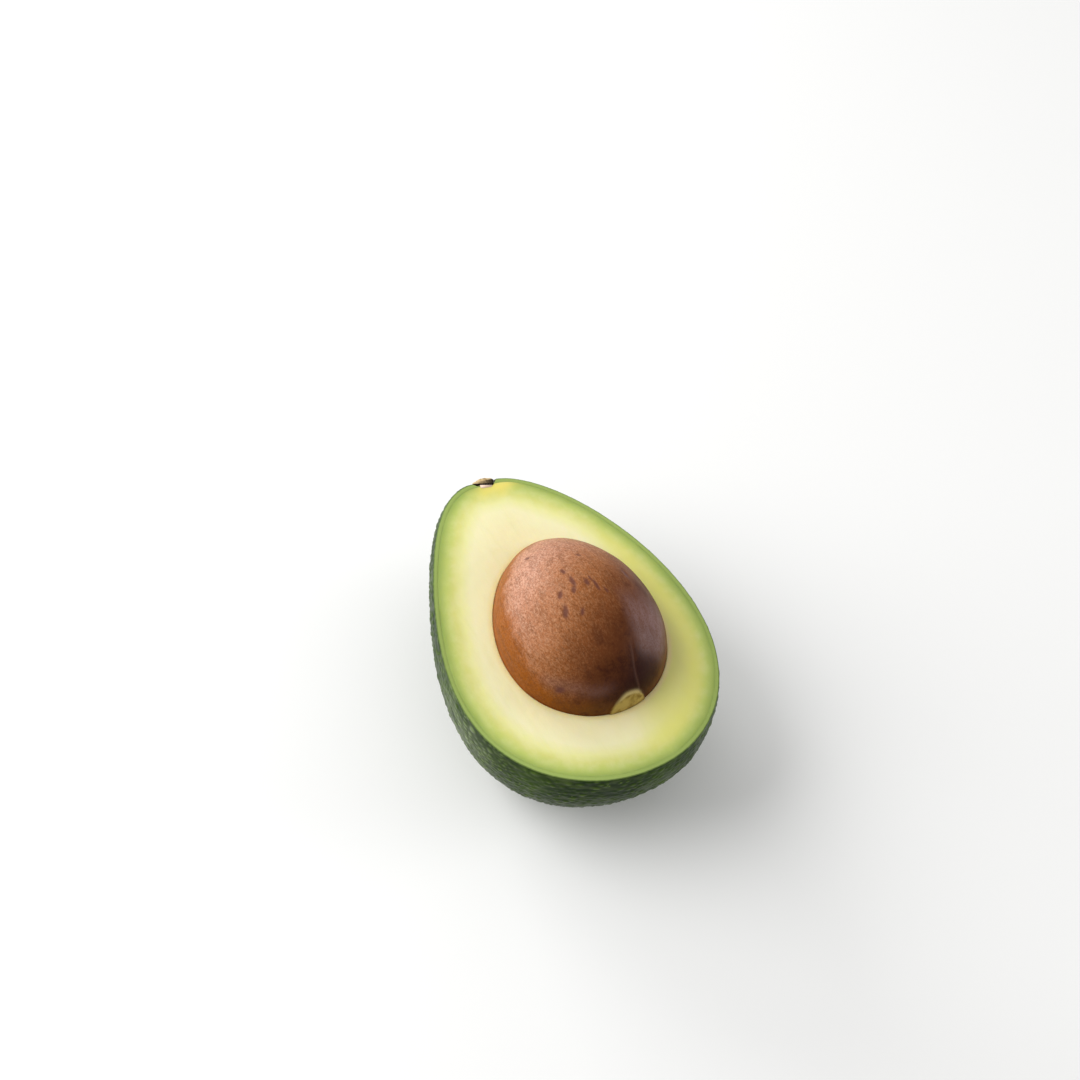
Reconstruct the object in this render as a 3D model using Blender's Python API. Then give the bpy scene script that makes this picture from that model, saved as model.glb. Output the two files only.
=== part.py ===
"""Half an avocado, cut lengthwise, lying on its skin with the seed still in its hollow."""

import math

import bmesh
import bpy
import numpy as np
from mathutils import Matrix, Vector

# Driving dimensions, in metres and degrees.
# X runs along the fruit from the stem to the blossom end, Z is up, and the cut face is level.
# The shapes are worked out with the cut face at height 0 and then raised by FACE_HEIGHT.
HALF_LENGTH = 0.0526
HALF_WIDTH = 0.0369
HALF_THICKNESS = 0.0301
PEAR_TAPER = 0.275
BLUNT_END = 0.044
SQUARENESS = 0.036
NECK_LEAN = 0.0028
CUT_ABOVE_MIDDLE = 0.0056
FACE_HEIGHT = 0.0360
BOX_CENTRE = (0.00011, -0.00064)

DIMPLE_DEPTH = 0.0009
DIMPLE_RADIUS = 0.0045

SKIN_THICKNESS = 0.0012
GAP = 0.0003
PEBBLE_HEIGHT = 0.0006
PEBBLE_VARIATION = 0.35
PEBBLE_SHIFT = 0.006
PEBBLE_SEED = 7

SEED_HALF_LENGTH = 0.0292
SEED_HALF_WIDTH = 0.0234
SEED_TAPER = 0.128
SEED_TURN = -5.5
SEED_CENTRE = Vector((0.0043, 0.0024, -0.0015))
SCAR_MIDDLE = (0.125, 0.0)
SCAR_RADII = (0.21, 0.31)
SCAR_HEIGHT = 0.0004
SCAR_EDGE = 0.3
SEAM_WIDTH = 0.045
SEAM_DEPTH = 0.0003
SEAM_END = -0.2

BUTTON_RADIUS = 0.0030
BUTTON_LENGTH = 0.0032
BUTTON_CORE_RADIUS = 0.0013
BUTTON_TURN = 162.0
BUTTON_BASE = Vector((-0.0474, 0.0016, 0.0))
SOCKET_CLEARANCE = 0.0003

FINE_BALL = 5
COARSE_BALL = 4
TURNED_STEPS = 28
SHARP_ANGLE = math.radians(50)


def clear_scene():
    for item in list(bpy.data.objects):
        bpy.data.objects.remove(item, do_unlink=True)


def make_material(name, colour, roughness):
    material = bpy.data.materials.new(name)
    material.use_nodes = True
    shader = material.node_tree.nodes["Principled BSDF"]
    shader.inputs["Base Color"].default_value = (*colour, 1.0)
    shader.inputs["Roughness"].default_value = roughness
    shader.inputs["Metallic"].default_value = 0.0
    material.diffuse_color = (*colour, 1.0)
    return material


# Balls of unit size, which every round form is pulled from

def round_ball(level):
    """Directions and triangles of an even ball."""
    ball = bmesh.new()
    bmesh.ops.create_icosphere(ball, subdivisions=level, radius=1.0)
    directions = np.array([vert.co for vert in ball.verts])
    faces = np.array([[vert.index for vert in face.verts] for face in ball.faces])
    ball.free()
    return directions, faces


def celled_ball(level):
    """Directions and triangles of a ball of six-sided cells, and the number of cell middles.

    The cell middles come first, then the corners that neighbouring cells share.
    """
    ball = bmesh.new()
    bmesh.ops.create_icosphere(ball, subdivisions=level, radius=1.0)
    middles = [vert.co.copy() for vert in ball.verts]
    corners = [face.calc_center_median().normalized() for face in ball.faces]
    first_corner = len(middles)
    faces = []
    for edge in ball.edges:
        loop = edge.link_loops[0]
        start = loop.vert.index
        end = loop.link_loop_next.vert.index
        left = first_corner + loop.face.index
        right = first_corner + loop.link_loop_radial_next.face.index
        faces.append((start, right, left))
        faces.append((end, left, right))
    ball.free()
    return np.array(middles + corners), np.array(faces), first_corner


def outward_normals(points, faces):
    """Unit normal of each point of a closed triangle mesh."""
    first, second, third = (points[faces[:, corner]] for corner in range(3))
    face_normals = np.cross(second - first, third - first)
    normals = np.zeros_like(points)
    for corner in range(3):
        np.add.at(normals, faces[:, corner], face_normals)
    return normals / np.linalg.norm(normals, axis=1)[:, None]


# The fruit's own shape

def fruit_surface(directions):
    """Pear shape of the whole fruit, with the cut plane at height 0."""
    along, across, up = directions.T
    pear = 1 + PEAR_TAPER * along - BLUNT_END * along ** 3
    fullness = 1 + SQUARENESS * np.sin(2 * np.arctan2(up, across)) ** 2
    lean = -NECK_LEAN * along * (1 - along ** 2)
    x = HALF_LENGTH * along
    y = HALF_WIDTH * pear * fullness * across + lean
    z = HALF_THICKNESS * pear * fullness * up - CUT_ABOVE_MIDDLE
    from_stem = ((y - BUTTON_BASE.y) ** 2 + z ** 2) / DIMPLE_RADIUS ** 2
    dimple = np.where(along < 0, DIMPLE_DEPTH * np.exp(-from_stem), 0.0)
    return np.column_stack([x + dimple, y, z])


def level_spot(points, depth_inside):
    """Flatten the lowest stretch, so that the fruit rests level."""
    lowest = depth_inside - FACE_HEIGHT
    points[:, 2] = np.maximum(points[:, 2], lowest)
    return points


def pebbled_surface():
    """The skin's outside: an even cover of raised pebbles, each a little different."""
    directions, faces, pebble_count = celled_ball(FINE_BALL)
    random = np.random.default_rng(PEBBLE_SEED)
    directions = directions + random.normal(0.0, PEBBLE_SHIFT, directions.shape)
    directions /= np.linalg.norm(directions, axis=1)[:, None]
    smooth = fruit_surface(directions)
    spread = random.uniform(1 - PEBBLE_VARIATION, 1 + PEBBLE_VARIATION, pebble_count)
    relief = np.full(len(directions), -PEBBLE_HEIGHT / 2)
    relief[:pebble_count] += PEBBLE_HEIGHT * spread
    points = smooth + outward_normals(smooth, faces) * relief[:, None]
    return level_spot(points, 0.0), faces


def inset_surface(distance):
    """The fruit's smooth shape, a given distance inside its outline."""
    directions, faces = round_ball(COARSE_BALL)
    smooth = fruit_surface(directions)
    points = smooth - outward_normals(smooth, faces) * distance
    return level_spot(points, distance), faces


# The seed's own shape

def seed_relief(directions):
    """Height of the pale scar at the blunt end and of the seam that runs up from it."""
    along, across, up = directions.T
    scar_across = (across - SCAR_MIDDLE[0]) / SCAR_RADII[0]
    scar_up = (up - SCAR_MIDDLE[1]) / SCAR_RADII[1]
    from_edge = 1 - np.hypot(scar_across, scar_up)
    scar = SCAR_HEIGHT * np.clip(1 + from_edge / SCAR_EDGE, 0.0, 1.0) * (along > 0)
    seam_line = np.exp(-((across - SCAR_MIDDLE[0]) / SEAM_WIDTH) ** 2)
    seam = SEAM_DEPTH * seam_line * (along > SEAM_END) * (up > SCAR_RADII[1])
    return scar - seam


def seed_surface(directions, faces, raised):
    """Egg shape of the seed, blunt towards the blossom end, with each point raised a little."""
    along, across, up = directions.T
    egg = SEED_HALF_WIDTH * (1 + SEED_TAPER * along)
    points = np.column_stack([SEED_HALF_LENGTH * along, egg * across, egg * up])
    points += outward_normals(points, faces) * np.reshape(raised, (-1, 1))
    turn = np.array(Matrix.Rotation(math.radians(SEED_TURN), 3, "Z"))
    return points @ turn.T + np.array(SEED_CENTRE)


# From points to objects

def mesh_from(points, faces):
    shape = bmesh.new()
    verts = [shape.verts.new(point) for point in points]
    for face in faces:
        shape.faces.new([verts[index] for index in face])
    return shape


def cut_in_half(shape):
    """Cut a closed shape at the face's plane and close it with one flat face."""
    cut = bmesh.ops.bisect_plane(
        shape,
        geom=shape.verts[:] + shape.edges[:] + shape.faces[:],
        dist=1e-7,
        plane_co=(0, 0, 0),
        plane_no=(0, 0, 1),
        clear_outer=True,
    )
    rim = [item for item in cut["geom_cut"] if isinstance(item, bmesh.types.BMEdge)]
    bmesh.ops.edgeloop_fill(shape, edges=rim)
    bmesh.ops.recalc_face_normals(shape, faces=shape.faces[:])


def add_object(name, shape, material, parent):
    mesh = bpy.data.meshes.new(name)
    shape.to_mesh(mesh)
    shape.free()
    mesh.materials.append(material)
    mesh.shade_smooth()
    mesh.set_sharp_from_angle(angle=SHARP_ANGLE)
    item = bpy.data.objects.new(name, mesh)
    item.parent = parent
    bpy.context.scene.collection.objects.link(item)
    return item


def add_cutter(name, shape, material, parent):
    cutter = add_object(name, shape, material, parent)
    cutter.hide_render = True
    cutter.display_type = "WIRE"
    return cutter


def subtract(item, cutter):
    boolean = item.modifiers.new(cutter.name, "BOOLEAN")
    boolean.operation = "DIFFERENCE"
    boolean.solver = "EXACT"
    boolean.object = cutter


def turned_shape(profile):
    """Solid of revolution about X from (x, radius) pairs that start and end on the axis."""
    shape = bmesh.new()
    verts = [shape.verts.new((x, radius, 0.0)) for x, radius in profile]
    edges = [shape.edges.new(pair) for pair in zip(verts, verts[1:])]
    bmesh.ops.spin(
        shape,
        geom=verts + edges,
        cent=(0, 0, 0),
        axis=(1, 0, 0),
        angle=math.tau,
        steps=TURNED_STEPS,
        use_merge=True,
    )
    bmesh.ops.remove_doubles(shape, verts=shape.verts[:], dist=1e-6)
    bmesh.ops.recalc_face_normals(shape, faces=shape.faces[:])
    return shape


def place_button(shape):
    turn = Matrix.Rotation(math.radians(BUTTON_TURN), 4, "Z")
    shape.transform(Matrix.Translation(BUTTON_BASE) @ turn)


# The pieces

def build_skin(parent, socket):
    material = make_material("skin", (0.030, 0.060, 0.012), 0.38)
    outside = mesh_from(*pebbled_surface())
    cut_in_half(outside)
    skin = add_object("skin", outside, material, parent)
    inside = mesh_from(*inset_surface(SKIN_THICKNESS))
    subtract(skin, add_cutter("skin_inside", inside, material, parent))
    subtract(skin, socket)


def build_flesh(parent, socket):
    material = make_material("flesh", (0.77, 0.76, 0.30), 0.45)
    shape = mesh_from(*inset_surface(SKIN_THICKNESS + GAP))
    cut_in_half(shape)
    flesh = add_object("flesh", shape, material, parent)
    directions, faces = round_ball(COARSE_BALL)
    hollow = mesh_from(seed_surface(directions, faces, GAP + SCAR_HEIGHT), faces)
    subtract(flesh, add_cutter("seed_hollow", hollow, material, parent))
    subtract(flesh, socket)


def build_seed(parent):
    material = make_material("seed", (0.28, 0.115, 0.045), 0.42)
    directions, faces, _ = celled_ball(COARSE_BALL)
    shape = mesh_from(seed_surface(directions, faces, seed_relief(directions)), faces)
    add_object("seed", shape, material, parent)


def button_profile():
    """Stem remnant: a core that widens to a thin round cap, with a dish and a stub on top."""
    rim = BUTTON_RADIUS
    length = BUTTON_LENGTH
    return [
        (0.0, 0.0),
        (0.0, BUTTON_CORE_RADIUS),
        (0.45 * length, 0.85 * BUTTON_CORE_RADIUS),
        (0.58 * length, 0.88 * rim),
        (0.70 * length, rim),
        (0.83 * length, 0.9 * rim),
        (0.80 * length, 0.55 * rim),
        (0.86 * length, 0.42 * rim),
        (length, 0.34 * rim),
        (length, 0.0),
    ]


def build_stem_button(parent):
    material = make_material("stem_button", (0.36, 0.22, 0.10), 0.75)
    shape = turned_shape(button_profile())
    cut_in_half(shape)
    place_button(shape)
    add_object("stem_button", shape, material, parent)


def build_socket(parent):
    """Cutter for the hollow in skin and flesh that the stem remnant sits in."""
    material = make_material("cutter", (0.5, 0.5, 0.5), 0.5)
    radius = BUTTON_RADIUS + SOCKET_CLEARANCE
    outer_end = 2 * BUTTON_LENGTH
    shape = turned_shape([
        (-GAP, 0.0),
        (-GAP, BUTTON_CORE_RADIUS + GAP),
        (0.3 * BUTTON_LENGTH, 0.85 * radius),
        (0.6 * BUTTON_LENGTH, radius),
        (outer_end, 1.1 * radius),
        (outer_end, 0.0),
    ])
    place_button(shape)
    return add_cutter("stem_socket", shape, material, parent)


def main():
    clear_scene()
    avocado = bpy.data.objects.new("avocado_half", None)
    avocado.location = (-BOX_CENTRE[0], -BOX_CENTRE[1], FACE_HEIGHT)
    bpy.context.scene.collection.objects.link(avocado)
    socket = build_socket(avocado)
    build_skin(avocado, socket)
    build_flesh(avocado, socket)
    build_seed(avocado)
    build_stem_button(avocado)


main()
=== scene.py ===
import math

import bmesh
import bpy
import numpy as np
from mathutils import Matrix, Vector, noise
from mathutils.kdtree import KDTree


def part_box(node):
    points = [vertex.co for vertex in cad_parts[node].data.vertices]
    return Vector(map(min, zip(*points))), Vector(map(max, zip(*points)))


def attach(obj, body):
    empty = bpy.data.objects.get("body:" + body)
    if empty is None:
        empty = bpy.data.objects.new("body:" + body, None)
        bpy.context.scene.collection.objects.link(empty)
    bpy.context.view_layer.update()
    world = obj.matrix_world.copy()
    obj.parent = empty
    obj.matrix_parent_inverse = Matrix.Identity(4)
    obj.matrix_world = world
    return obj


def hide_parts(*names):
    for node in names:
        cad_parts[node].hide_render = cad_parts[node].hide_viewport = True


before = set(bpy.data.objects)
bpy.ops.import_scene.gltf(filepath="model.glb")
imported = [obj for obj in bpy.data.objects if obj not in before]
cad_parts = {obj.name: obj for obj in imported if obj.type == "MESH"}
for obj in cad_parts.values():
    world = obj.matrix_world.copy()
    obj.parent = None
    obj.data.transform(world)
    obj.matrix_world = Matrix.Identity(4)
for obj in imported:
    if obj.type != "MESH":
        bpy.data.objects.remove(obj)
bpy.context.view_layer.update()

# Named lengths are in metres and named angles in degrees. X runs from the stem to the blossom end.
# Shapes are worked out with the cut face at height 0 round the fruit's own axis, then moved here.
FRUIT_PLACE = Vector((-0.00011, 0.00064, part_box("flesh")[1].z))
FACE_HEIGHT = FRUIT_PLACE.z

# The fruit's shape, as in the solids
HALF_LENGTH = 0.0526
HALF_WIDTH = 0.0369
HALF_THICKNESS = 0.0301
PEAR_TAPER = 0.275
BLUNT_END = 0.044
SQUARENESS = 0.036
NECK_LEAN = 0.0028
CUT_ABOVE_MIDDLE = 0.0056
SKIN = 0.0012

# The hollow at the stem
DIMPLE_DEPTH = 0.0009
DIMPLE_RADIUS = 0.0045
SOCKET_ACROSS = 0.0030
SOCKET_FLOOR = 0.0024
SOCKET_RIM = 0.0036
SOCKET_DEPTH = 0.0011
THIN_AT_STEM = 0.8

# The seed's shape, as in the solids
SEED_HALF_LENGTH = 0.0284
SEED_HALF_WIDTH = 0.0232
SEED_TAPER = 0.128
SEED_TURN = -5.5
SEED_CENTRE = np.array((0.0040, 0.0025, -0.0015))

# Camera and light, round the fruit, with the lens and the sensor in millimetres
CAMERA_AZIMUTH = 50.94
CAMERA_ELEVATION = 55.0
CAMERA_ROLL = 12.0
CAMERA_DISTANCE = 0.825
CAMERA_LENS = 100.0
SENSOR = 36.0
IMAGE_SIZE = 1080
AIM_POINT = Vector((0.0077, 0.0011, 0.0))
AIM_PIXEL = (578.0, 640.0)
LIGHT_DISTANCE = 0.9
SKY_STRENGTH = 0.47

# Soft lights: azimuth and elevation in degrees, size in metres, power in watts
KEY_LIGHT = (-30.0, 35.0, 0.9, 7.7)
SIDE_LIGHT = (-80.0, 13.0, 0.5, 5.0)
FAR_LIGHT = (155.0, 13.0, 0.5, 3.2)


# Small numeric helpers

def smooth_step(low, high, value):
    """0 below low, 1 above high, with a smooth rise between them."""
    t = np.clip((value - low) / (high - low), 0.0, 1.0)
    return t * t * (3 - 2 * t)


def noise_field(points, size, seed=0.0, stretch=(1, 1, 1)):
    """Smooth noise of about -1 to 1 at every point, with features of the given size."""
    scaled = points / (size * np.array(stretch)) + seed
    values = [noise.noise(Vector(point)) for point in scaled.reshape(-1, 3)]
    return np.array(values).reshape(points.shape[:-1])


def search_tree(points):
    """A tree that finds the points nearest to a place."""
    tree = KDTree(len(points))
    for index, point in enumerate(points):
        tree.insert(point, index)
    tree.balance()
    return tree


def nearest_distance(points, targets):
    """Distance from each point to the nearest target point."""
    tree = search_tree(targets)
    return np.array([tree.find(point)[2] for point in points])


def lengths_along(points):
    """Distance travelled along a line to each of its points."""
    steps = np.linalg.norm(np.diff(points, axis=0), axis=1)
    return np.concatenate([[0.0], np.cumsum(steps)])


# Directions from the middle of a shape

PROBE_AXIS = np.array((0.8, 0.1, 0.6))
PROBE_STEP = 1e-3


def from_angles(azimuths, elevations):
    """Directions from an azimuth and an elevation each, in radians."""
    flat = np.cos(elevations)
    return np.stack([flat * np.cos(azimuths), flat * np.sin(azimuths), np.sin(elevations)], axis=-1)


def arcs(starts, end, shares):
    """Rows of directions that turn from each start towards one end."""
    angle = np.arccos(np.clip(starts @ end, -1, 1))[None, :, None]
    shares = np.reshape(shares, (-1, 1, 1))
    return (np.sin((1 - shares) * angle) * starts + np.sin(shares * angle) * end) / np.sin(angle)


def outward(surface, directions):
    """Outward unit normals of a surface that is given by directions."""
    side = np.cross(directions, PROBE_AXIS)
    side /= np.linalg.norm(side, axis=-1, keepdims=True)
    front = np.cross(side, directions)
    across = surface(directions + PROBE_STEP * side) - surface(directions - PROBE_STEP * side)
    ahead = surface(directions + PROBE_STEP * front) - surface(directions - PROBE_STEP * front)
    normals = np.cross(ahead, across)
    return normals / np.linalg.norm(normals, axis=-1, keepdims=True)


def level_loop(surface, azimuths, height=0.0):
    """Directions, one for each azimuth, where a surface crosses the given height."""
    low = np.full(len(azimuths), -1.2)
    high = np.full(len(azimuths), 1.2)
    for _ in range(34):
        middle = (low + high) / 2
        above = surface(from_angles(azimuths, middle))[:, 2] > height
        high = np.where(above, middle, high)
        low = np.where(above, low, middle)
    return from_angles(azimuths, (low + high) / 2)


# Shapes

def fruit_body(directions):
    """Pear shape of the whole fruit without the hollow at its stem."""
    along, across, up = np.moveaxis(directions, -1, 0)
    pear = 1 + PEAR_TAPER * along - BLUNT_END * along ** 3
    fullness = 1 + SQUARENESS * np.sin(2 * np.arctan2(up, across)) ** 2
    lean = -NECK_LEAN * along * (1 - along ** 2)
    x = HALF_LENGTH * along
    y = HALF_WIDTH * pear * fullness * across + lean
    z = HALF_THICKNESS * pear * fullness * up - CUT_ABOVE_MIDDLE
    return np.stack([x, y, z], axis=-1)


def socket_amount(points):
    """1 in the hollow round the stem remnant, 0 away from it."""
    distance = np.hypot(points[..., 1] - SOCKET_ACROSS, points[..., 2])
    return (1 - smooth_step(SOCKET_FLOOR, SOCKET_RIM, distance)) * (points[..., 0] < 0)


def fruit_surface(directions, inset=0.0):
    """The fruit's outside, or the surface a given distance inside it."""
    points = fruit_body(directions)
    socket = socket_amount(points)
    if inset > 0:
        depth = inset * (1 - THIN_AT_STEM * socket)
        points = points - outward(fruit_body, directions) * depth[..., None]
    distance = np.hypot(points[..., 1] - SOCKET_ACROSS, points[..., 2])
    dimple = np.exp(-(distance / DIMPLE_RADIUS) ** 2) * (points[..., 0] < 0)
    points[..., 0] += DIMPLE_DEPTH * dimple + SOCKET_DEPTH * socket
    return points


def seed_egg(directions):
    """Egg shape of the seed, blunt towards the blossom end."""
    along, across, up = np.moveaxis(directions, -1, 0)
    width = SEED_HALF_WIDTH * (1 + SEED_TAPER * along)
    x = SEED_HALF_LENGTH * along
    y = width * across
    turn = math.radians(SEED_TURN)
    turned_x = math.cos(turn) * x - math.sin(turn) * y
    turned_y = math.sin(turn) * x + math.cos(turn) * y
    return np.stack([turned_x, turned_y, width * up], axis=-1) + SEED_CENTRE


# Relief that the seed and the hollow in the flesh share

SCAR_MIDDLE = (0.115, 0.0)
SCAR_RADII = (0.22, 0.31)
SCAR_HEIGHT = 0.00030
SEED_WAVES = 0.00012


def seed_local(directions):
    """Places on a plain egg of the seed's size, for noise that keeps to the seed."""
    return directions * np.array((SEED_HALF_LENGTH, SEED_HALF_WIDTH, SEED_HALF_WIDTH))


def scar_reach(directions):
    """Distance from the middle of the seed's scar, 1 on the scar's edge."""
    along, across, up = np.moveaxis(directions, -1, 0)
    reach = np.hypot((across - SCAR_MIDDLE[0]) / SCAR_RADII[0], (up - SCAR_MIDDLE[1]) / SCAR_RADII[1])
    ragged = 0.08 * noise_field(seed_local(directions), 0.004, 6.0)
    return np.where(along > 0, reach + ragged, 9.0)


def seed_surface(directions, gap=0.0):
    """The seed's outside with its slow waves and its scar, or the hollow a gap away from it."""
    waves = SEED_WAVES * noise_field(seed_local(directions), 0.009, 1.0)
    scar = SCAR_HEIGHT * (1 - smooth_step(0.94, 1.05, scar_reach(directions)))
    height = waves + scar + gap
    return seed_egg(directions) + outward(seed_egg, directions) * height[..., None]


# Meshes

def ball(subdivisions):
    """Even directions all round, and the faces between them."""
    mesh = bmesh.new()
    bmesh.ops.create_icosphere(mesh, subdivisions=subdivisions, radius=1.0)
    directions = np.array([vert.co for vert in mesh.verts])
    faces = [[vert.index for vert in face.verts] for face in mesh.faces]
    mesh.free()
    return directions, faces


def ring_faces(rows, columns):
    """Faces between rows of points that close into rings, with both end rings filled."""
    row, column = np.meshgrid(np.arange(rows - 1), np.arange(columns), indexing="ij")
    after = (column + 1) % columns
    corners = [row * columns + column, row * columns + after,
               (row + 1) * columns + after, (row + 1) * columns + column]
    faces = np.stack(corners, axis=-1).reshape(-1, 4).tolist()
    last = (rows - 1) * columns
    faces.append(list(range(columns))[::-1])
    faces.append(list(range(last, last + columns)))
    return faces


def make_piece(name, points, faces, material, attributes, node):
    """A mesh piece in place of a node, with a number at every point for each attribute."""
    mesh = bpy.data.meshes.new(name)
    placed = points.reshape(-1, 3) + np.array(FRUIT_PLACE)
    mesh.from_pydata(placed.tolist(), [], faces)
    for key, values in attributes.items():
        attribute = mesh.attributes.new(key, "FLOAT", "POINT")
        attribute.data.foreach_set("value", np.ravel(values).astype(np.float32))
    mesh.materials.append(material)
    mesh.shade_smooth()
    piece = bpy.data.objects.new(name, mesh)
    bpy.context.scene.collection.objects.link(piece)
    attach(piece, "root")
    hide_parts(node)
    return piece


# Materials

class Nodes:
    """Short names for building one material's nodes."""

    def __init__(self, name):
        self.material = bpy.data.materials.new(name)
        self.material.use_nodes = True
        self.tree = self.material.node_tree
        self.shader = self.tree.nodes["Principled BSDF"]
        self.place = self.tree.nodes.new("ShaderNodeTexCoord").outputs["Object"]

    def put(self, socket, value):
        """A number or colour on a socket, or a link into it."""
        if isinstance(value, bpy.types.NodeSocket):
            self.tree.links.new(value, socket)
        elif isinstance(value, tuple) and len(value) == 3 and socket.type == "RGBA":
            socket.default_value = (*value, 1.0)
        else:
            socket.default_value = value

    def attribute(self, name):
        node = self.tree.nodes.new("ShaderNodeAttribute")
        node.attribute_name = name
        return node.outputs["Fac"]

    def math(self, operation, *values):
        node = self.tree.nodes.new("ShaderNodeMath")
        node.operation = operation
        for socket, value in zip(node.inputs, values):
            self.put(socket, value)
        return node.outputs[0]

    def stretch(self, scale):
        node = self.tree.nodes.new("ShaderNodeMapping")
        self.put(node.inputs["Vector"], self.place)
        node.inputs["Scale"].default_value = scale
        return node.outputs["Vector"]

    def noise(self, size, detail=3.0, rough=0.55, vector=None):
        """Noise with features of a size in metres."""
        node = self.tree.nodes.new("ShaderNodeTexNoise")
        self.put(node.inputs["Vector"], vector or self.place)
        node.inputs["Scale"].default_value = 1 / size
        node.inputs["Detail"].default_value = detail
        node.inputs["Roughness"].default_value = rough
        return node.outputs["Fac"]

    def cells(self, size):
        node = self.tree.nodes.new("ShaderNodeTexVoronoi")
        self.put(node.inputs["Vector"], self.place)
        node.inputs["Scale"].default_value = 1 / size
        return node.outputs["Distance"]

    def ramp(self, value, stops, smooth=True):
        """Colour ramp from stops of a position and a colour or a number."""
        node = self.tree.nodes.new("ShaderNodeValToRGB")
        node.color_ramp.interpolation = "EASE" if smooth else "LINEAR"
        elements = node.color_ramp.elements
        while len(elements) < len(stops):
            elements.new(0.5)
        for element, (position, colour) in zip(elements, stops):
            element.position = position
            shade = colour if isinstance(colour, tuple) else (colour, colour, colour)
            element.color = (*shade, 1.0)
        self.put(node.inputs["Fac"], value)
        return node.outputs["Color"]

    def mix(self, amount, first, second):
        node = self.tree.nodes.new("ShaderNodeMix")
        node.data_type = "RGBA"
        self.put(node.inputs[0], amount)
        self.put(node.inputs[6], first)
        self.put(node.inputs[7], second)
        return node.outputs[2]

    def bump(self, height, strength, distance, below=None):
        node = self.tree.nodes.new("ShaderNodeBump")
        node.inputs["Strength"].default_value = strength
        node.inputs["Distance"].default_value = distance
        self.put(node.inputs["Height"], height)
        if below:
            self.put(node.inputs["Normal"], below)
        return node.outputs["Normal"]

    def finish(self, **inputs):
        """Values or links on the shader's own sockets, and the material."""
        for name, value in inputs.items():
            self.put(self.shader.inputs[name.replace("_", " ")], value)
        return self.material


def skin_material():
    """Waxy dark green peel, lighter on its pebbles, with a yellow-green cut edge."""
    n = Nodes("peel_green")
    shade = n.attribute("shade")
    ground = n.ramp(n.attribute("pebble"), [
        (0.0, (0.008, 0.020, 0.002)),
        (0.4, (0.021, 0.045, 0.003)),
        (1.0, (0.070, 0.115, 0.018)),
    ])
    patches = n.ramp(n.noise(0.011, detail=4.0), [(0.40, 0.0), (0.75, 0.55)])
    ground = n.mix(patches, ground, (0.050, 0.090, 0.012))
    ground = n.mix(n.ramp(shade, [(0.0, 0.55), (0.6, 0.0)]), ground, (0.008, 0.024, 0.004))
    streaks = n.noise(0.0024, detail=3.0, vector=n.stretch((0.35, 0.35, 1.3)))
    ground = n.mix(n.ramp(streaks, [(0.46, 0.0), (0.72, 0.4)]), ground, (0.110, 0.150, 0.045))
    speck = n.ramp(n.cells(0.0021), [(0.09, 1.0), (0.17, 0.0)])
    speck = n.math("MULTIPLY", speck, n.ramp(shade, [(0.45, 0.0), (0.62, 0.4)]))
    ground = n.mix(speck, ground, (0.200, 0.270, 0.070))
    # Paler grey-green low on one side, brighter on the pebbles: painted reflection of the bright floor
    painted_reflection_share = n.math("MULTIPLY", n.attribute("painted_reflection"), n.ramp(n.attribute("pebble"), [(0.1, 0.35), (0.7, 1.0)]))
    ground = n.mix(painted_reflection_share, ground, (0.260, 0.310, 0.180))
    edge = n.ramp(n.attribute("edge_depth"), [
        (0.0, (0.030, 0.060, 0.010)),
        (0.14, (0.090, 0.150, 0.025)),
        (0.32, (0.285, 0.385, 0.095)),
        (1.0, (0.290, 0.385, 0.090)),
    ])
    edge = n.mix(n.math("MULTIPLY", n.noise(0.0009, detail=2.0), 0.3), edge, (0.46, 0.54, 0.22))
    ground = n.mix(n.attribute("edge"), ground, edge)
    # Dark brown on the skin in the hollow round the stem: painted shade in that hollow
    ground = n.mix(n.attribute("socket"), ground, (0.028, 0.012, 0.005))
    rough = n.math("MULTIPLY_ADD", n.noise(0.004), 0.16, 0.28)
    grain = n.bump(n.noise(0.00035), 0.30, 0.00010)
    return n.finish(Base_Color=ground, Roughness=rough, Normal=grain, Specular_IOR_Level=0.11,
                    Specular_Tint=(0.60, 0.80, 0.35))


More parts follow.
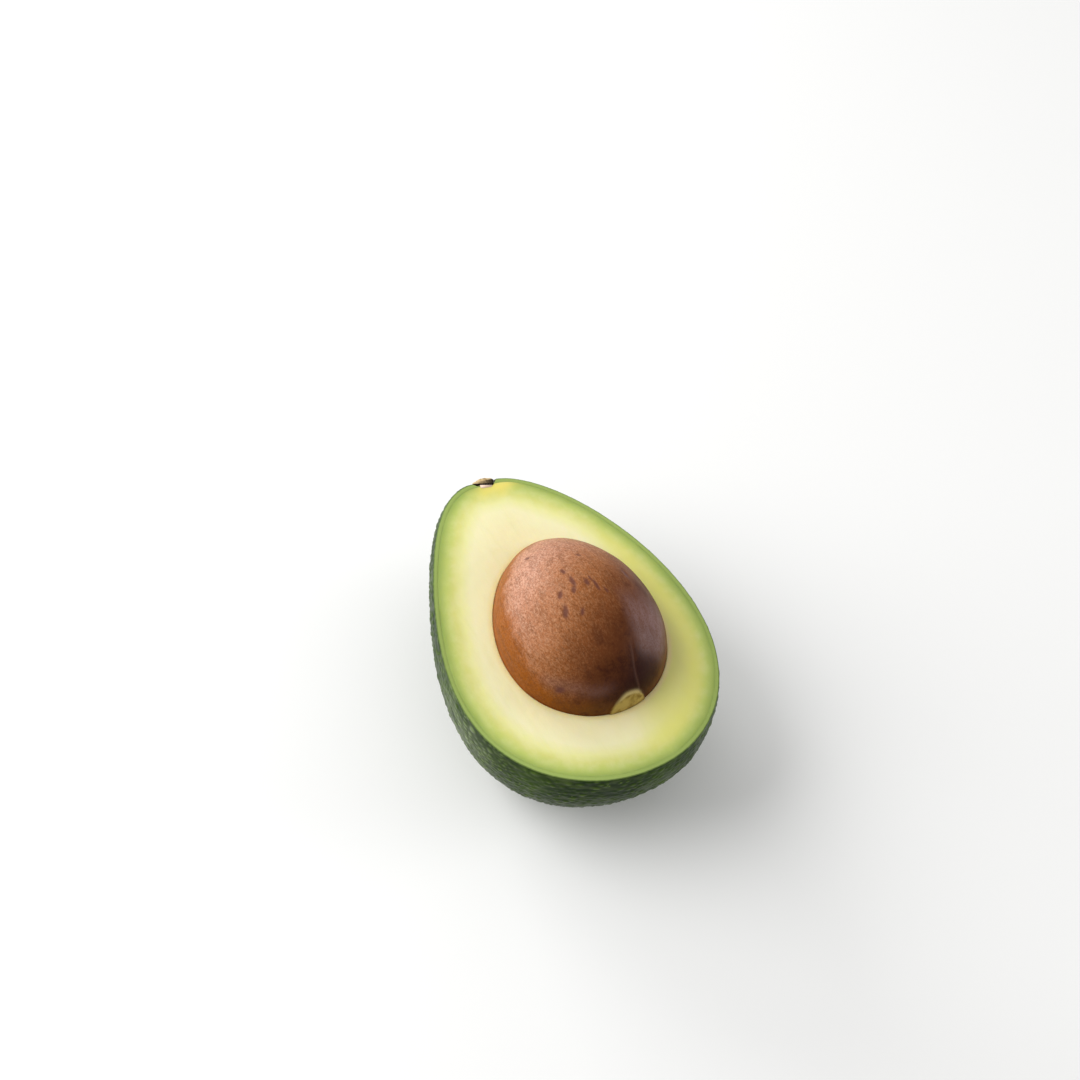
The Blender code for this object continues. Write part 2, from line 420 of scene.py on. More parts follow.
def flesh_material():
    """Moist flesh: green at the rim, lime and yellow further in, cream near the seed."""
    n = Nodes("flesh_cream")
    wander = n.math("MULTIPLY_ADD", n.noise(0.013, detail=2.0), 0.10, -0.05)
    depth = n.math("ADD", n.attribute("rim_depth"), wander)
    base = n.ramp(depth, [
        (0.00, (0.270, 0.365, 0.080)),
        (0.04, (0.335, 0.430, 0.098)),
        (0.15, (0.490, 0.565, 0.140)),
        (0.28, (0.650, 0.655, 0.205)),
        (0.42, (0.785, 0.770, 0.340)),
        (0.60, (0.845, 0.800, 0.485)),
        (1.00, (0.840, 0.755, 0.440)),
    ], smooth=False)
    mottle = n.ramp(n.noise(0.0035, detail=4.0), [(0.35, 0.0), (0.7, 0.20)])
    mottle = n.math("MULTIPLY", mottle, n.ramp(depth, [(0.02, 0.0), (0.20, 1.0)]))
    base = n.mix(mottle, base, (0.84, 0.80, 0.50))
    strand = n.ramp(n.noise(0.0022, vector=n.stretch((0.12, 1.0, 1.0))), [(0.50, 0.0), (0.80, 0.14)])
    base = n.mix(strand, base, (0.60, 0.62, 0.18))
    # Yellower on one side: painted warm bounce light where the seed's shadow falls
    base = n.mix(n.attribute("painted_bounce_yellow"), base, (0.76, 0.735, 0.16))
    base = n.mix(n.attribute("near_stem"), base, (0.86, 0.71, 0.17))
    base = n.mix(n.attribute("lip"), base, (0.84, 0.70, 0.34))
    rough = n.math("MULTIPLY_ADD", n.noise(0.006), 0.18, 0.34)
    fine = n.bump(n.noise(0.0006, detail=4.0), 0.20, 0.00008)
    smear = n.bump(n.noise(0.004, detail=2.0, vector=n.stretch((0.3, 1, 1))), 0.25, 0.0003, fine)
    return n.finish(Base_Color=base, Roughness=rough, Normal=smear, Specular_IOR_Level=0.38,
                    Subsurface_Weight=0.35, Subsurface_Radius=(1.0, 0.75, 0.25), Subsurface_Scale=0.0022)


def seed_material():
    """Brown seed coat with fine mottling. It is orange low on its sides, partly as painted bounce light, and
    dark towards the blunt end, partly as painted shade. It has a painted highlight at the other end and a
    painted purple-grey sheen on its far side.
    """
    n = Nodes("seed_brown")
    flow = n.stretch((0.45, 1.0, 1.0))
    blunt = n.math("MULTIPLY_ADD", n.noise(0.007, detail=4.0), 0.26, -0.13)
    blunt = n.math("ADD", blunt, n.attribute("blunt"))
    # From the light end to the blunt end: partly the coat's own tone, partly painted shade away from the
    # lights; the pinkish light end is partly a painted highlight
    ground = n.ramp(blunt, [
        (0.10, (0.455, 0.212, 0.130)),
        (0.30, (0.385, 0.151, 0.066)),
        (0.45, (0.320, 0.112, 0.037)),
        (0.54, (0.240, 0.076, 0.020)),
        (0.66, (0.175, 0.051, 0.014)),
        (0.78, (0.098, 0.025, 0.007)),
        (0.96, (0.020, 0.003, 0.002)),
    ], smooth=False)
    # Orange low on the sides: partly the coat's own colour, partly painted warm bounce light from the flesh
    orange = n.ramp(blunt, [(0.47, (0.275, 0.072, 0.002)), (0.87, (0.130, 0.045, 0.006))], smooth=False)
    ground = n.mix(n.attribute("low"), ground, orange)
    # Purple-grey on the far side: painted sheen standing in for reflected light
    ground = n.mix(n.attribute("painted_purple_sheen"), ground, (0.255, 0.150, 0.142))
    veins = n.noise(0.0017, detail=4.0, rough=0.65, vector=n.stretch((0.22, 1.0, 1.0)))
    ground = n.mix(n.ramp(veins, [(0.44, 0.0), (0.64, 0.40)]), ground, (0.120, 0.036, 0.010))
    # Pale grain, pinkish at the light end: partly the coat's grain, partly painted highlight
    pale = n.ramp(blunt, [
        (0.10, (0.620, 0.375, 0.265)),
        (0.44, (0.540, 0.272, 0.138)),
        (0.81, (0.230, 0.090, 0.028)),
    ], smooth=False)
    grain = n.ramp(n.noise(0.0005, detail=3.0, rough=0.75, vector=flow), [(0.40, 0.0), (0.68, 0.60)])
    ground = n.mix(n.math("MULTIPLY", grain, n.attribute("light")), ground, pale)
    dust = n.ramp(n.noise(0.0005, detail=3.0, rough=0.75), [(0.42, 0.0), (0.72, 0.65)])
    ground = n.mix(dust, ground, (0.110, 0.034, 0.009))
    blotch = n.ramp(n.noise(0.0030, detail=3.0, rough=0.6), [(0.50, 0.0), (0.66, 0.55)])
    blotch = n.math("MULTIPLY", blotch, n.ramp(n.attribute("blunt"), [(0.55, 0.0), (0.80, 1.0)]))
    blotch = n.math("MULTIPLY", blotch, n.ramp(n.attribute("painted_purple_sheen"), [(0.0, 1.0), (0.5, 0.0)]))
    ground = n.mix(blotch, ground, (0.045, 0.009, 0.005))
    ground = n.mix(n.attribute("mark"), ground, (0.105, 0.036, 0.030))
    # Nearly black beside the scar: partly the coat's own colour, partly painted shade
    ground = n.mix(n.attribute("dark_and_shaded_end"), ground, (0.020, 0.002, 0.002))
    ground = n.mix(n.attribute("seam"), ground, (0.150, 0.070, 0.048))
    patches = n.ramp(n.noise(0.0030, detail=3.0), [(0.30, 0.0), (0.62, 1.0)])
    scar = n.mix(patches, (0.190, 0.115, 0.018), (0.420, 0.300, 0.080))
    ground = n.mix(n.attribute("scar"), ground, scar)
    ground = n.mix(n.attribute("scar_edge"), ground, (0.560, 0.440, 0.190))
    rough = n.math("MULTIPLY_ADD", n.noise(0.003), 0.20, 0.36)
    wrinkle = n.bump(n.noise(0.0016, vector=flow), 0.35, 0.00014)
    fine = n.bump(n.noise(0.00045, detail=2.0), 0.30, 0.00008, wrinkle)
    return n.finish(Base_Color=ground, Roughness=rough, Normal=fine, Specular_IOR_Level=0.10,
                    Specular_Tint=(1.0, 0.76, 0.62))


def stem_material():
    """Dry tan cap with a painted shadow under it and a pale, moist core."""
    n = Nodes("stem_tan")
    fibre = n.noise(0.0009, detail=4.0, vector=n.stretch((0.4, 1.0, 1.0)))
    cap = n.ramp(fibre, [
        (0.30, (0.300, 0.185, 0.075)),
        (0.50, (0.520, 0.380, 0.190)),
        (0.72, (0.680, 0.540, 0.330)),
    ])
    # Near black under the cap: painted shadow between the cap and the flesh
    painted_shadow_under_cap = n.mix(n.attribute("painted_shadow_under_cap"), cap, (0.010, 0.004, 0.002))
    core = n.mix(n.attribute("core"), painted_shadow_under_cap, (0.760, 0.570, 0.440))
    return n.finish(Base_Color=core, Roughness=0.7, Normal=n.bump(fibre, 0.6, 0.0002), Specular_IOR_Level=0.1)


# Skin

# Its mesh: columns round the rim, and rows that turn part of the way from the rim to the floor
RIM_COLUMNS = 640
SKIN_ROWS = 134
FLOOR_DIRECTION = np.array((0.22, 0.0, -0.9755))
FLAT_SHARE = 0.885
INNER_ROWS = 9

# Its relief: pebbles, wrinkles and slow lumps, calmer near the rim
PEBBLE_BALL = 6
PEBBLE_SHARE = 0.62
PEBBLE_SHIFT = 0.012
PEBBLE_SEED = 11
PEBBLE_STRETCH = np.array((1.6, 1.6, 1.0))
PEBBLE_RELIEF = 0.00030
PEBBLE_DOME = 0.75
PEBBLE_LOWEST = 0.45
WRINKLE_RELIEF = 0.00010
WRINKLE_SIZE = 0.0016
LUMP_RELIEF = 0.00022
LUMP_SIZE = 0.009
LEVEL_STRETCH = (2.4, 2.4, 1)
CALM_DEPTH = 0.0018
CALM_AT_RIM = 0.25

# A paler patch low on one side: painted reflection of the bright floor
REFLECTION_AT = 0.015
REFLECTION_REACH = 0.013
REFLECTION_SIDE = (0.018, 0.034)
REFLECTION_PATCH = 0.0030
REFLECTION_AMOUNT = 0.85

# The cut edge: shares of the peel's thickness, and how far each lies below the cut plane
EDGE_SHARES = (0.0, 0.06, 0.16, 0.36, 0.62, 0.86, 0.98, 1.0)
EDGE_DROPS = (0.00016, 0.00004, 0.0, 0.00001, 0.00002, 0.00004, 0.00006, 0.00007)


def even_rim():
    """Azimuths of evenly spaced points along the edge of the cut face."""
    azimuths = np.linspace(-math.pi, math.pi, 12 * RIM_COLUMNS)
    travelled = lengths_along(fruit_surface(level_loop(fruit_surface, azimuths)))
    wanted = np.linspace(0.0, travelled[-1], RIM_COLUMNS, endpoint=False)
    return np.interp(wanted, travelled, azimuths)


def inset_loop(azimuths, inset):
    """Directions of the level loop where the surface at an inset meets the cut plane."""
    return level_loop(lambda directions: fruit_surface(directions, inset), azimuths)


def pebble_middles():
    """Uneven points all over the fruit, about 2 mm apart, and a random shade for each."""
    directions, _ = ball(PEBBLE_BALL)
    random = np.random.default_rng(PEBBLE_SEED)
    directions = directions[random.random(len(directions)) < PEBBLE_SHARE]
    directions = directions + random.normal(0.0, PEBBLE_SHIFT, directions.shape)
    directions /= np.linalg.norm(directions, axis=1)[:, None]
    return fruit_body(directions), random.random(len(directions))


def pebble_relief(points):
    """Height of the pebbles at each point, from 0 to 1, and the shade of the point's own pebble."""
    middles, shades = pebble_middles()
    tree = search_tree(middles / PEBBLE_STRETCH)
    heights = np.empty(len(points))
    own = np.empty(len(points))
    for index, point in enumerate(points / PEBBLE_STRETCH):
        (_, nearest, near), (_, _, far) = tree.find_n(point, 2)
        heights[index] = (far - near) / (far + near)
        own[index] = shades[nearest]
    dome = smooth_step(0.0, PEBBLE_DOME, heights)
    return dome * (PEBBLE_LOWEST + (1 - PEBBLE_LOWEST) * own), own


def skin_relief(points, socket):
    """Height of the skin's relief, and the pebbles' heights and shades."""
    flat = points.reshape(-1, 3)
    pebbles, shades = pebble_relief(flat)
    pebbles = pebbles.reshape(socket.shape)
    lumps = LUMP_RELIEF * noise_field(points, LUMP_SIZE, 5.0)
    wrinkles = WRINKLE_RELIEF * noise_field(points, WRINKLE_SIZE, 3.0, stretch=LEVEL_STRETCH)
    calm = CALM_AT_RIM + (1 - CALM_AT_RIM) * smooth_step(0.0, CALM_DEPTH, -points[..., 2])
    calm = calm * (1 - np.clip(2 * socket, 0, 1))
    height = calm * (PEBBLE_RELIEF * (pebbles - 0.5) + lumps + wrinkles)
    return height, pebbles, shades.reshape(socket.shape)


def painted_reflection_amount(rows):
    """How much painted reflection of the floor, a paler patch low on one side, lies at each point."""
    along = np.exp(-((rows[..., 0] - REFLECTION_AT) / REFLECTION_REACH) ** 2)
    side = smooth_step(*REFLECTION_SIDE, -rows[..., 1])
    patchy = 0.65 + 0.9 * noise_field(rows, REFLECTION_PATCH, 4.0, stretch=LEVEL_STRETCH)
    return REFLECTION_AMOUNT * along * side * np.clip(patchy, 0, 1)


def peel_edge(azimuths, moved):
    """Rows over the peel's cut edge; its outermost row is moved like the skin that it meets."""
    rows = []
    for share, drop in zip(EDGE_SHARES, EDGE_DROPS):
        loop = fruit_surface(inset_loop(azimuths, share * SKIN), share * SKIN)
        loop = loop + moved * (1 - share)
        loop[:, 2] = -drop
        rows.append(loop)
    return rows


def build_skin(azimuths):
    """The peel from its flat spot up the outside, over the cut edge and down inside."""
    outer = arcs(inset_loop(azimuths, 0.0), FLOOR_DIRECTION, np.linspace(0.0, FLAT_SHARE, SKIN_ROWS))
    outside = fruit_surface(outer)
    socket = socket_amount(fruit_body(outer))
    height, pebbles, shades = skin_relief(outside, socket)
    moved = outward(fruit_body, outer) * height[..., None]
    moved[0, :, 2] = 0.0
    outside = outside + moved
    outside[..., 2] = np.clip(outside[..., 2], -FACE_HEIGHT, 0.0)
    outside[0, :, 2] = -2 * EDGE_DROPS[0]
    inner = arcs(inset_loop(azimuths, SKIN), FLOOR_DIRECTION, np.linspace(0.0, FLAT_SHARE, INNER_ROWS))
    inside = fruit_surface(inner[1:], SKIN)
    inside[..., 2] = np.maximum(inside[..., 2], SKIN - FACE_HEIGHT)
    rows = np.concatenate([outside[::-1], peel_edge(azimuths, moved[0]), inside])
    after = len(rows) - SKIN_ROWS

    def upward(values, last):
        """Values on the outside, from the floor up, with one number for the rows after it."""
        return np.concatenate([values[::-1], np.full((after, RIM_COLUMNS), last)])

    edge_depth = np.concatenate([np.zeros(SKIN_ROWS), EDGE_SHARES, np.ones(INNER_ROWS - 1)])
    on_edge = np.concatenate([np.zeros(SKIN_ROWS), np.ones(after)])
    attributes = {
        "pebble": upward(pebbles, 0.3),
        "shade": upward(shades, 0.5),
        "painted_reflection": painted_reflection_amount(rows),
        "edge": np.repeat(on_edge, RIM_COLUMNS),
        "edge_depth": np.repeat(edge_depth, RIM_COLUMNS),
        "socket": upward(np.clip(1.6 * socket, 0, 1), 0.0),
    }
    faces = ring_faces(len(rows), RIM_COLUMNS)
    return make_piece("peel", rows, faces, skin_material(), attributes, "skin")


# Flesh

# Its mesh, and how it meets the peel and the seed
FLESH_ROWS = 84
HOLLOW_ROWS = 12
HOLLOW_SHARE = 0.93
SEED_GAP = 0.00006
LIP_RADIUS = 0.00022
LIP_ROWS = 5
TUCK = 0.00005

# The cut face: nearly flat, with slow waves and a faint groove along its rim
FACE_DROP = 0.00007
FACE_WAVES = 0.00008
FACE_WAVE_SIZE = 0.010
FACE_GRAIN = 0.00003
FACE_GRAIN_SIZE = 0.0025
GROOVE_DEPTH = 0.00003
GROOVE_WIDTH = 0.0005

# Its tints: green depth from the rim, the hollow's lip, yellow beside the stem, and painted bounce light on
# one side
RIM_SCALE = 0.016
LIP_TINT = (0.0004, 0.0020)
STEM_YELLOW = 0.85
STEM_YELLOW_SHIFT = (0.0006, 0.0042, 0.0)
STEM_YELLOW_REACH = (0.0050, 0.0120, 0.0050)
BOUNCE_YELLOW = 0.70
BOUNCE_YELLOW_ACROSS = (0.012, 0.026)
BOUNCE_YELLOW_SLANT = 0.35
BOUNCE_YELLOW_FROM_RIM = (0.0015, 0.0065)


def hollow_directions(rim_loop):
    """Seed directions where the hollow's edge lies towards each point of the rim."""
    azimuths = np.linspace(-math.pi, math.pi, 3 * RIM_COLUMNS)

    def hollow(directions):
        return seed_surface(directions, SEED_GAP)

    points = hollow(level_loop(hollow, azimuths))
    angles = np.unwrap(np.arctan2(points[:, 1] - SEED_CENTRE[1], points[:, 0] - SEED_CENTRE[0]))
    wanted = np.arctan2(rim_loop[:, 1] - SEED_CENTRE[1], rim_loop[:, 0] - SEED_CENTRE[0])
    wanted = (wanted - angles[0]) % math.tau + angles[0]
    return level_loop(hollow, np.interp(wanted, angles, azimuths))


def face_height(face, from_rim):
    """Height of the cut face at each of its points."""
    waves = FACE_WAVES * noise_field(face, FACE_WAVE_SIZE, 2.0)
    waves = waves + FACE_GRAIN * noise_field(face, FACE_GRAIN_SIZE, 9.0)
    inside = smooth_step(0.0, GROOVE_WIDTH, from_rim)
    return np.minimum(waves * inside - FACE_DROP - GROOVE_DEPTH * (1 - inside), 0.0)


def hollow_lip(inner_loop, toward, heights):
    """Rows that round the cut face over into the hollow."""
    rows = []
    for angle in np.linspace(0.0, math.pi / 2, LIP_ROWS + 1)[1:]:
        loop = inner_loop - toward * LIP_RADIUS * (1 - math.sin(angle))
        loop[:, 2] = heights - LIP_RADIUS * (1 - math.cos(angle))
        rows.append(loop)
    return rows


def stem_yellow(rows):
    """How yellow the flesh is beside the stem."""
    beside_stem = (rows - np.array(BUTTON_BASE) - STEM_YELLOW_SHIFT) / STEM_YELLOW_REACH
    from_stem = np.linalg.norm(beside_stem, axis=-1) * (1 + 0.35 * noise_field(rows, 0.004, 3.0))
    return STEM_YELLOW * (1 - smooth_step(0.1, 1.0, from_stem))


def painted_bounce_yellow_amount(rows):
    """How much painted yellow lies towards one side, standing in for warm bounce light in the seed's shadow.
    """
    return BOUNCE_YELLOW * smooth_step(*BOUNCE_YELLOW_ACROSS, rows[..., 1] + BOUNCE_YELLOW_SLANT * rows[..., 0])


def build_flesh(azimuths):
    """The flesh from its foot up the wall, over the cut face and down the seed's hollow."""
    inset = SKIN - TUCK
    outer = inset_loop(azimuths, inset)
    outer_loop = fruit_surface(outer, inset)
    hollow = hollow_directions(outer_loop)
    inner_loop = seed_surface(hollow, SEED_GAP)
    span = inner_loop - outer_loop
    span[:, 2] = 0.0
    length = np.linalg.norm(span, axis=1)
    toward = span / length[:, None]
    shares = np.concatenate([[0.0, 0.0015], np.linspace(0.01, 1.0, FLESH_ROWS - 2)])[:, None, None]
    face = outer_loop + toward * (length - LIP_RADIUS)[:, None] * shares
    flat = face.reshape(-1, 3)
    from_rim = nearest_distance(flat, outer_loop).reshape(face.shape[:2])
    from_seed = nearest_distance(flat, inner_loop).reshape(face.shape[:2])
    face[..., 2] = face_height(face, from_rim)
    lip = hollow_lip(inner_loop, toward, face[-1, :, 2])
    bowl = seed_surface(arcs(hollow, np.array((0.0, 0.0, -1.0)),
                             np.linspace(0.0, HOLLOW_SHARE, HOLLOW_ROWS)[1:]), SEED_GAP)
    wall = fruit_surface(arcs(outer, FLOOR_DIRECTION, np.linspace(0.0, FLAT_SHARE, INNER_ROWS)[1:]), inset)
    wall[..., 2] = np.maximum(wall[..., 2], inset - FACE_HEIGHT)
    rows = np.concatenate([wall[::-1], face, lip, bowl])
    before = len(wall)
    after = len(lip) + len(bowl)

    def whole(first, values, last):
        """Values on the face, with one number for the rows below and one for those after."""
        foot = np.full((before, RIM_COLUMNS), first)
        return np.concatenate([foot, values, np.full((after, RIM_COLUMNS), last)])

    attributes = {
        "rim_depth": whole(0.0, np.clip(from_rim / RIM_SCALE, 0, 1), 1.0),
        "lip": whole(0.0, 1 - smooth_step(*LIP_TINT, from_seed), 1.0),
        "near_stem": stem_yellow(rows),
        "painted_bounce_yellow": painted_bounce_yellow_amount(rows) * whole(0.0, smooth_step(*BOUNCE_YELLOW_FROM_RIM, from_rim), 1.0),
    }
    faces = ring_faces(len(rows), RIM_COLUMNS)
    return make_piece("flesh_body", rows, faces, flesh_material(), attributes, "flesh")


# Seed

SEED_BALL = 7
SEED_GRAIN = 0.00005
SEED_GRAIN_SIZE = 0.0022
SCAR_LINE = 0.93
SCAR_LINE_WIDTH = 0.07
SCAR_RIDGE = 0.00008
MARK_DEPTH = 0.00010
SEAM_DEPTH = 0.00016

# Places and widths on the seed, as shares of its half length and half width
SEAM_ACROSS = 0.235
SEAM_WIDTH = 0.011
SEAM_END = 0.55
DARK_END = (0.87, 0.28, 0.37)
DARK_END_REACH = 0.33
LOW_LEVEL = 0.53
LOW_FALL = 0.34
LOW_FALL_AT_STEM = 0.06
PURPLE_BAND_LEVEL = 0.40
PURPLE_BAND_WIDTH = 0.07

# Dark marks on the seed: places along and across it in mm, length, width, and turn in degrees
MARKS = (
    (-7.0, -3.7, 1.7, 0.9, 0),
    (-2.8, -2.9, 3.0, 1.0, 0),
    (0.0, -3.7, 2.0, 0.9, -20),
    (0.0, -7.5, 2.0, 0.9, -29),
    (5.3, -8.1, 3.0, 1.1, -13),
    (-0.9, 0.6, 2.1, 1.0, 5),
    (-1.9, 2.1, 1.6, 0.5, 0),
    (1.0, 2.7, 3.0, 0.7, 5),
    (3.1, 4.6, 1.8, 0.5, 10),
    (-11.6, 3.6, 1.2, 0.7, 60),
    (-18.4, -9.0, 1.2, 0.7, 75),
    (-2.6, 13.8, 2.6, 1.0, 5),
    (7.3, -4.2, 1.4, 0.8, -20),
    (20.6, -13.7, 2.0, 0.6, 50),
)


def seed_marks(local):
    """How dark each point is made by the marks, from 0 to 1."""
    along, across = local[:, 0] * 1000, local[:, 1] * 1000
    ragged = 0.45 * noise_field(local, 0.0011, 4.0)
    total = np.zeros(len(local))
    for x, y, length, width, turn in MARKS:
        angle = math.radians(turn)
        lengthwise = (along - x) * math.cos(angle) + (across - y) * math.sin(angle)
        sideways = (across - y) * math.cos(angle) - (along - x) * math.sin(angle)
        reach = np.hypot(lengthwise / (length / 2), sideways / (width / 2)) + ragged
        total = np.maximum(total, 1 - smooth_step(0.6, 2.0, reach))
    return total * (local[:, 2] > 0)


def low_band(directions, slow):
    """The orange band low on the seed's sides, from 0 to 1: partly the coat's own colour, partly painted warm
    light bounced from the flesh.
    """
    along, across, up = directions.T
    level = LOW_LEVEL - LOW_FALL * np.clip(along - 0.05, 0, 1) - LOW_FALL_AT_STEM * np.clip(-along, 0, 1)
    ragged = 0.07 * slow + 0.06 * noise_field(seed_local(directions), 0.0014, 2.0, stretch=(1, 2, 3))
    return 1 - smooth_step(-0.13, 0.11, up - level - ragged)


def painted_purple_sheen_and_band(directions, slow):
    """The painted purple-grey sheen on the seed's far side, a painted reflection, and a faint band of the
    same tint near the scar.
    """
    along, across, up = directions.T
    painted_purple_sheen = smooth_step(0.24, 0.42, across + 0.04 * slow)
    painted_purple_sheen *= smooth_step(0.0, 0.45, along) * (1 - smooth_step(0.66, 0.82, along))
    painted_purple_sheen *= smooth_step(0.12, 0.50, up + 0.08 * slow)
    band = np.exp(-((up - PURPLE_BAND_LEVEL + 0.03 * slow) / PURPLE_BAND_WIDTH) ** 2)
    band *= smooth_step(0.45, 0.65, along) * (1 - smooth_step(-0.15, 0.05, across))
    return 0.80 * painted_purple_sheen + 0.30 * band


def dark_and_shaded_end(directions, slow):
    """The nearly black zone beside the scar: partly the coat's own colour, partly painted shade."""
    distance = np.linalg.norm(directions - np.array(DARK_END), axis=1) * (1 + 0.25 * slow)
    return 0.95 * np.exp(-(distance / DARK_END_REACH) ** 2)


def build_seed():
    """The seed's coat with its scar, seam and marks in relief, and the tints of each point."""
    directions, faces = ball(SEED_BALL)
    along, across, up = directions.T
    local = seed_local(directions)
    reach = scar_reach(directions)
    scar = 1 - smooth_step(0.92, 1.0, reach)
    scar_edge = np.exp(-((reach - SCAR_LINE) / SCAR_LINE_WIDTH) ** 2)
    seam = np.exp(-((across - SEAM_ACROSS - 0.02 * np.sin(9 * up)) / SEAM_WIDTH) ** 2)
    seam = seam * smooth_step(SEAM_END, SEAM_END + 0.15, along) * (up > 0.25) * (1 - scar)
    marks = seed_marks(local)
    relief = SEED_GRAIN * noise_field(local, SEED_GRAIN_SIZE, 8.0, stretch=(2.4, 1, 1))
    relief += SCAR_RIDGE * scar_edge - SEAM_DEPTH * seam - MARK_DEPTH * marks
    points = seed_surface(directions) + outward(seed_egg, directions) * relief[:, None]
    slow = noise_field(local, 0.006, 7.0)
    low = low_band(directions, slow)
    blunt = np.clip((along + 0.8 * across + 1.0) / 2.1, 0, 1)
    attributes = {
        "scar": scar,
        "scar_edge": 0.8 * scar_edge * smooth_step(0.16, 0.27, up),
        "seam": 0.35 * seam,
        "mark": 0.8 * marks,
        "blunt": blunt,
        # Where the pale grain shows, away from the blunt end and the orange band: partly a painted highlight
        "light": (1 - 0.9 * smooth_step(0.35, 1.0, blunt)) * (1 - 0.8 * low),
        "low": 0.95 * low,
        "painted_purple_sheen": painted_purple_sheen_and_band(directions, slow),
        "dark_and_shaded_end": dark_and_shaded_end(directions, slow) * (1 - scar),
    }
    return make_piece("stone", points, faces, seed_material(), attributes, "seed")


# Stem remnant

BUTTON_RADIUS = 0.0031
BUTTON_LENGTH = 0.0036
BUTTON_CORE_RADIUS = 0.0017
BUTTON_CORE_SHIFT = -0.0006
BUTTON_TURN = 167.0
BUTTON_BASE = (-0.0480, 0.0021, 0.0)
BUTTON_COLUMNS = 96
BUTTON_ROWS = 60
UNDERSIDE_DROP = 0.0010

# As shares of the remnant's length: where its core ends, and where its cap's outer side starts
CORE_TOP = (0.37, 0.39)
CAP_FOOT = 0.53
CAP_FOOT_RISE = 0.18

# The cap is thinner at one side: from this share of the length up, by this part of the height
CAP_BASE = 0.55
CAP_THINNING = 0.6


def button_profile():
    """Even points along the (height, radius) outline, from the core's foot to the cap's top."""
    corners = np.array([
        (0.0, 0.0),
        (0.02 * BUTTON_LENGTH, 0.85 * BUTTON_CORE_RADIUS),
        (0.10 * BUTTON_LENGTH, 1.00 * BUTTON_CORE_RADIUS),
        (0.34 * BUTTON_LENGTH, 1.00 * BUTTON_CORE_RADIUS),
        (0.38 * BUTTON_LENGTH, 0.92 * BUTTON_CORE_RADIUS),
        (0.40 * BUTTON_LENGTH, 0.80 * BUTTON_RADIUS),
        (0.54 * BUTTON_LENGTH, 0.97 * BUTTON_RADIUS),
        (0.62 * BUTTON_LENGTH, 1.00 * BUTTON_RADIUS),
        (0.74 * BUTTON_LENGTH, 0.93 * BUTTON_RADIUS),
        (0.84 * BUTTON_LENGTH, 0.66 * BUTTON_RADIUS),
        (0.90 * BUTTON_LENGTH, 0.36 * BUTTON_RADIUS),
        (0.92 * BUTTON_LENGTH, 0.0),
    ])
    travelled = lengths_along(corners)
    wanted = np.linspace(0.0, travelled[-1], BUTTON_ROWS)
    return np.interp(wanted, travelled, corners[:, 0]), np.interp(wanted, travelled, corners[:, 1])


def half_turned_faces(rows):
    """Faces of half a turned shape with a flat side: its rows, then the two points on its axis."""
    last = BUTTON_COLUMNS - 1
    foot, top = rows * BUTTON_COLUMNS, rows * BUTTON_COLUMNS + 1
    faces = []
    for row in range(rows - 1):
        here, above = row * BUTTON_COLUMNS, (row + 1) * BUTTON_COLUMNS
        for column in range(last):
            faces.append([here + column, here + column + 1, above + column + 1, above + column])
        faces.append([here, above, above + last, here + last])
    upper = (rows - 1) * BUTTON_COLUMNS
    for column in range(last):
        faces.append([foot, column + 1, column])
        faces.append([top, upper + column, upper + column + 1])
    faces.append([foot, 0, last])
    faces.append([top, upper + last, upper])
    return faces


def build_stem():
    """The woody remnant, half a turned shape that the cut has left."""
    heights, radii = button_profile()
    turns = np.linspace(math.pi, math.tau, BUTTON_COLUMNS)
    rows = BUTTON_ROWS - 2
    x = np.repeat(heights[1:-1], BUTTON_COLUMNS)
    reach = np.repeat(radii[1:-1], BUTTON_COLUMNS)
    y = reach * np.tile(np.cos(turns), rows)
    z = reach * np.tile(np.sin(turns), rows)
    ends = [(heights[0], 0.0, 0.0), (heights[-1], 0.0, 0.0)]
    points = np.concatenate([np.column_stack([x, y, z]), ends])
    rough = noise_field(points, 0.0010, 12.0, stretch=(0.5, 1, 1))
    share = points[:, 0] / BUTTON_LENGTH
    past_core = smooth_step(*CORE_TOP, share)
    core = 1 - past_core
    sideways = points[:, 1] / BUTTON_RADIUS
    far_end = smooth_step(0.3, 0.9, -sideways)
    cap_foot = CAP_FOOT + CAP_FOOT_RISE * smooth_step(0.62, 0.76, -sideways)
    # Painted shadow under the cap, from the core's top to the cap's outer side
    painted_shadow_under_cap = past_core * (1 - smooth_step(cap_foot, cap_foot + 0.04, share))
    above = np.maximum(points[:, 0] - CAP_BASE * BUTTON_LENGTH, 0.0)
    points[:, 0] -= CAP_THINNING * above * smooth_step(0.1, 1.0, sideways)
    points[:, 0] += 0.00007 * rough * smooth_step(0.5, 0.62, share)
    points[:, 0] -= UNDERSIDE_DROP * past_core * (1 - smooth_step(0.5, 0.6, share)) * far_end
    points[:, 1:] *= (1 + 0.04 * rough)[:, None]
    points[:, 1] += BUTTON_CORE_SHIFT * core
    points[:, 2] = np.minimum(points[:, 2], 0.0)
    attributes = {"core": core, "painted_shadow_under_cap": painted_shadow_under_cap}
    turn = np.array(Matrix.Rotation(math.radians(BUTTON_TURN), 3, "Z"))
    placed = points @ turn.T + np.array(BUTTON_BASE)
    faces = half_turned_faces(rows)
    return make_piece("stem_remnant", placed, faces, stem_material(), attributes, "stem_button")


# Stage, light and camera

FLOOR_SIZE = 6.0


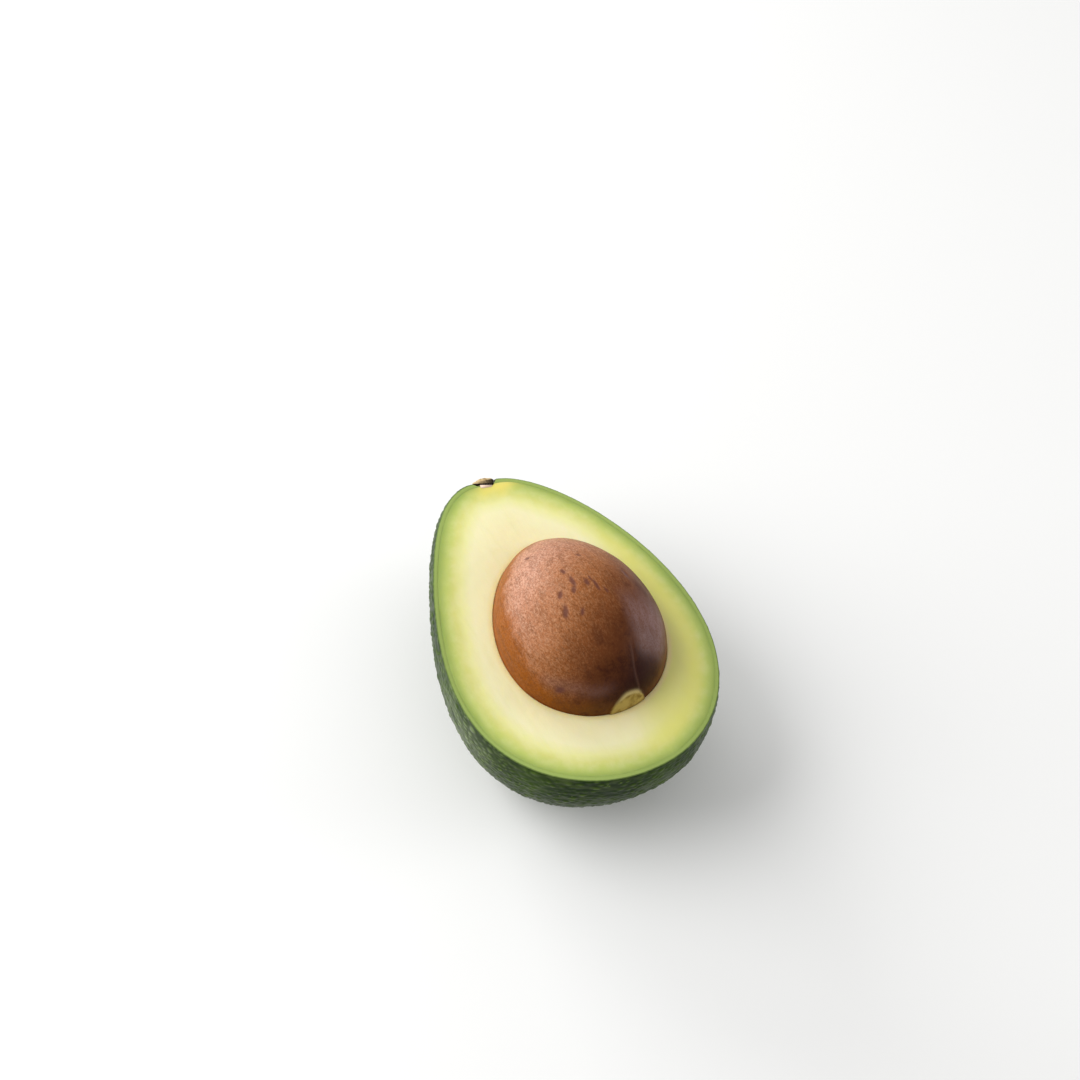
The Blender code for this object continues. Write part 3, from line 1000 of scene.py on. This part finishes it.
def build_stage():
    """Plain pale floor."""
    material = bpy.data.materials.new("floor_pale")
    material.use_nodes = True
    shader = material.node_tree.nodes["Principled BSDF"]
    shader.inputs["Base Color"].default_value = (0.90, 0.90, 0.89, 1.0)
    shader.inputs["Roughness"].default_value = 0.6
    bpy.ops.mesh.primitive_plane_add(size=FLOOR_SIZE, location=(0, 0, 0))
    floor = bpy.context.object
    floor.name = "floor"
    floor.data.materials.append(material)


def soft_box(name, azimuth, elevation, size, power):
    """Round soft light in a direction round the fruit, turned towards it."""
    turn, rise = math.radians(azimuth), math.radians(elevation)
    toward = Vector((math.sin(turn) * math.cos(rise), -math.cos(turn) * math.cos(rise), math.sin(rise)))
    data = bpy.data.lights.new(name, "AREA")
    data.shape = "DISK"
    data.size = size
    data.energy = power
    light = bpy.data.objects.new(name, data)
    light.location = FRUIT_PLACE + toward * LIGHT_DISTANCE
    light.rotation_mode = "QUATERNION"
    light.rotation_quaternion = toward.to_track_quat("Z", "Y")
    bpy.context.scene.collection.objects.link(light)


def build_light():
    """White surroundings and three soft lights."""
    world = bpy.data.worlds.new("studio")
    bpy.context.scene.world = world
    world.use_nodes = True
    background = world.node_tree.nodes["Background"]
    background.inputs["Color"].default_value = (1.0, 1.0, 1.0, 1.0)
    background.inputs["Strength"].default_value = SKY_STRENGTH
    soft_box("key", *KEY_LIGHT)
    soft_box("side", *SIDE_LIGHT)
    soft_box("far", *FAR_LIGHT)
    bpy.context.scene.view_settings.view_transform = "Standard"


def build_camera():
    """Camera at the photograph's angle: the aim point lands on its own pixel."""
    turn, rise = math.radians(CAMERA_AZIMUTH), math.radians(CAMERA_ELEVATION)
    roll = math.radians(CAMERA_ROLL)
    forward = Vector((-math.sin(turn) * math.cos(rise), math.cos(turn) * math.cos(rise), -math.sin(rise)))
    level_right = Vector((math.cos(turn), math.sin(turn), 0.0))
    level_up = level_right.cross(forward)
    right = level_right * math.cos(roll) + level_up * math.sin(roll)
    up = level_up * math.cos(roll) - level_right * math.sin(roll)
    per_pixel = CAMERA_DISTANCE * SENSOR / CAMERA_LENS / IMAGE_SIZE
    across = (AIM_PIXEL[0] - IMAGE_SIZE / 2) * per_pixel
    down = (AIM_PIXEL[1] - IMAGE_SIZE / 2) * per_pixel
    data = bpy.data.cameras.new("photo_camera")
    data.lens = CAMERA_LENS
    data.sensor_width = SENSOR
    camera = bpy.data.objects.new("photo_camera", data)
    place = FRUIT_PLACE + AIM_POINT - forward * CAMERA_DISTANCE - right * across + up * down
    turned = Matrix((right, up, -forward)).transposed().to_4x4()
    camera.matrix_world = Matrix.Translation(place) @ turned
    bpy.context.scene.collection.objects.link(camera)
    bpy.context.scene.camera = camera


def main():
    """Every piece of the half, then what it is seen on, in and with."""
    rim = even_rim()
    build_skin(rim)
    build_flesh(rim)
    build_seed()
    build_stem()
    build_stage()
    build_light()
    build_camera()


main()
